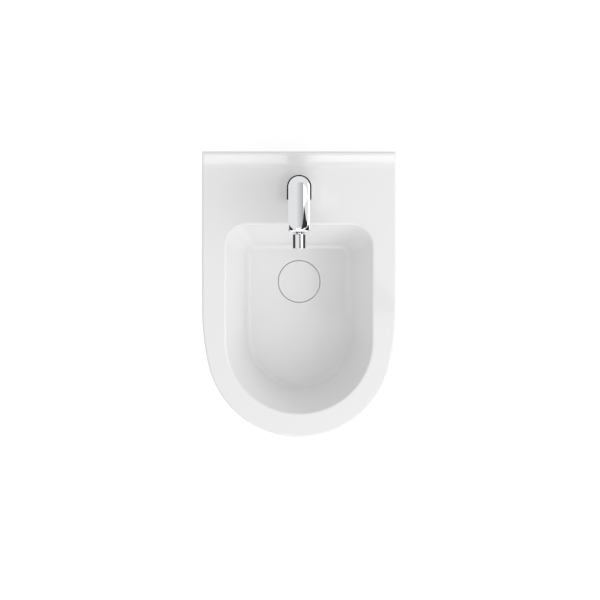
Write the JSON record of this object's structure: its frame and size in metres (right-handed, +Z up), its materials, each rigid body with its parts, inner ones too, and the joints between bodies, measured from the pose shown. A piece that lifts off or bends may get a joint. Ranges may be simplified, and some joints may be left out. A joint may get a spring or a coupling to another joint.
{
  "type": "wall hung bidet",
  "caption": "D-shaped wall hung ceramic bidet with a single lever tap, swivelling ball nozzle, push-open ceramic-covered waste and bottle trap.",
  "frame": {"origin": "on the wall plane, midway between the two wall fixing holes; the deck lies 100 mm above it", "axes": "+Y out of the back face into the wall, +Z up, +X to the right for someone facing the wall"},
  "size_m": [0.36, 0.53, 0.4223],
  "materials": {
    "glazed_ceramic": "high gloss white glaze",
    "chrome": "polished",
    "brass": "machined",
    "steel": "zinc plated",
    "stainless": "drawn wire",
    "white_plastic": "moulded, light sheen",
    "grey_plastic": "moulded",
    "dark_plastic": "moulded",
    "rubber": "matt",
    "disc_ceramic": "lapped alumina",
    "indicator": "plain"
  },
  "bodies": {
    "basin": {"basin_deck": "glazed_ceramic", "basin_bowl": "glazed_ceramic", "basin_skirt": "glazed_ceramic", "fixing_sleeves": "white_plastic", "fixing_washers": "steel", "fixing_nuts": "steel", "waste_body": "chrome", "waste_seal": "rubber", "waste_lower_washer": "rubber", "waste_back_nut": "brass", "plug_guide": "brass", "click_latch": "dark_plastic", "plug_spring": "stainless", "trap_inlet_nut": "chrome", "trap_inlet_washer": "rubber", "trap_head": "chrome", "trap_dip_tube": "white_plastic", "trap_cup_seal": "rubber", "trap_cup": "chrome", "trap_outlet_washer": "rubber", "trap_outlet_nut": "chrome", "trap_outlet_pipe": "chrome", "tap_body": "chrome", "tap_base_seal": "rubber", "tap_stud": "steel", "horseshoe_gasket": "rubber", "horseshoe_washer": "steel", "stud_nut": "brass", "cartridge_base": "grey_plastic", "cartridge_port_seals": "rubber", "fixed_disc": "disc_ceramic", "cartridge_housing": "grey_plastic", "cartridge_nut": "brass", "cartridge_cap": "chrome", "ball_seal": "rubber", "ball_retaining_ring": "chrome"},
    "lever_turntable": {"cartridge_rotor": "white_plastic", "stem_pin": "stainless"},
    "lever_arm": {"lever": "chrome", "lever_stem": "steel", "lever_grub_screw": "steel", "lever_indicator": "indicator"},
    "disc_slider": {"moving_disc": "disc_ceramic", "disc_carrier": "grey_plastic"},
    "nozzle_collar": {"ball_seat_ring": "white_plastic"},
    "nozzle_head": {"nozzle_ball": "chrome", "nozzle_shell": "chrome", "nozzle_gasket": "rubber", "flow_straightener": "grey_plastic"},
    "plug": {"drain_cover": "glazed_ceramic", "plug_stem": "brass", "plug_seal": "rubber"}
  },
  "joints": [
    {"name": "lever_swivel", "type": "hinge", "parent": "basin", "child": "lever_turntable", "pos_m": [0, -0.067, 0.188], "axis": [0, 0, 1], "range_deg": [-45, 45]},
    {"name": "lever_lift", "type": "hinge", "parent": "lever_turntable", "child": "lever_arm", "pos_m": [0, -0.067, 0.188], "axis": [-1, 0, 0], "range_deg": [0, 24]},
    {"name": "disc_slide", "type": "slide", "parent": "lever_turntable", "child": "disc_slider", "axis": [0, -1, 0], "range_m": [0, 0.0038]},
    {"name": "nozzle_turn", "type": "hinge", "parent": "basin", "child": "nozzle_collar", "pos_m": [0, -0.1448, 0.152], "axis": [0, -1, 0], "range_deg": [-90, 90]},
    {"name": "nozzle_tilt", "type": "hinge", "parent": "nozzle_collar", "child": "nozzle_head", "pos_m": [0, -0.1448, 0.152], "axis": [1, 0, 0], "range_deg": [-15, 15]},
    {"name": "plug_lift", "type": "slide", "parent": "basin", "child": "plug", "axis": [0, 0, 1], "range_m": [0, 0.007], "deforming": ["plug_spring"]}
  ],
  "couplings": [
    {"joint": "disc_slide", "follows": "lever_lift", "m_per_rad": 0.009}
  ]
}
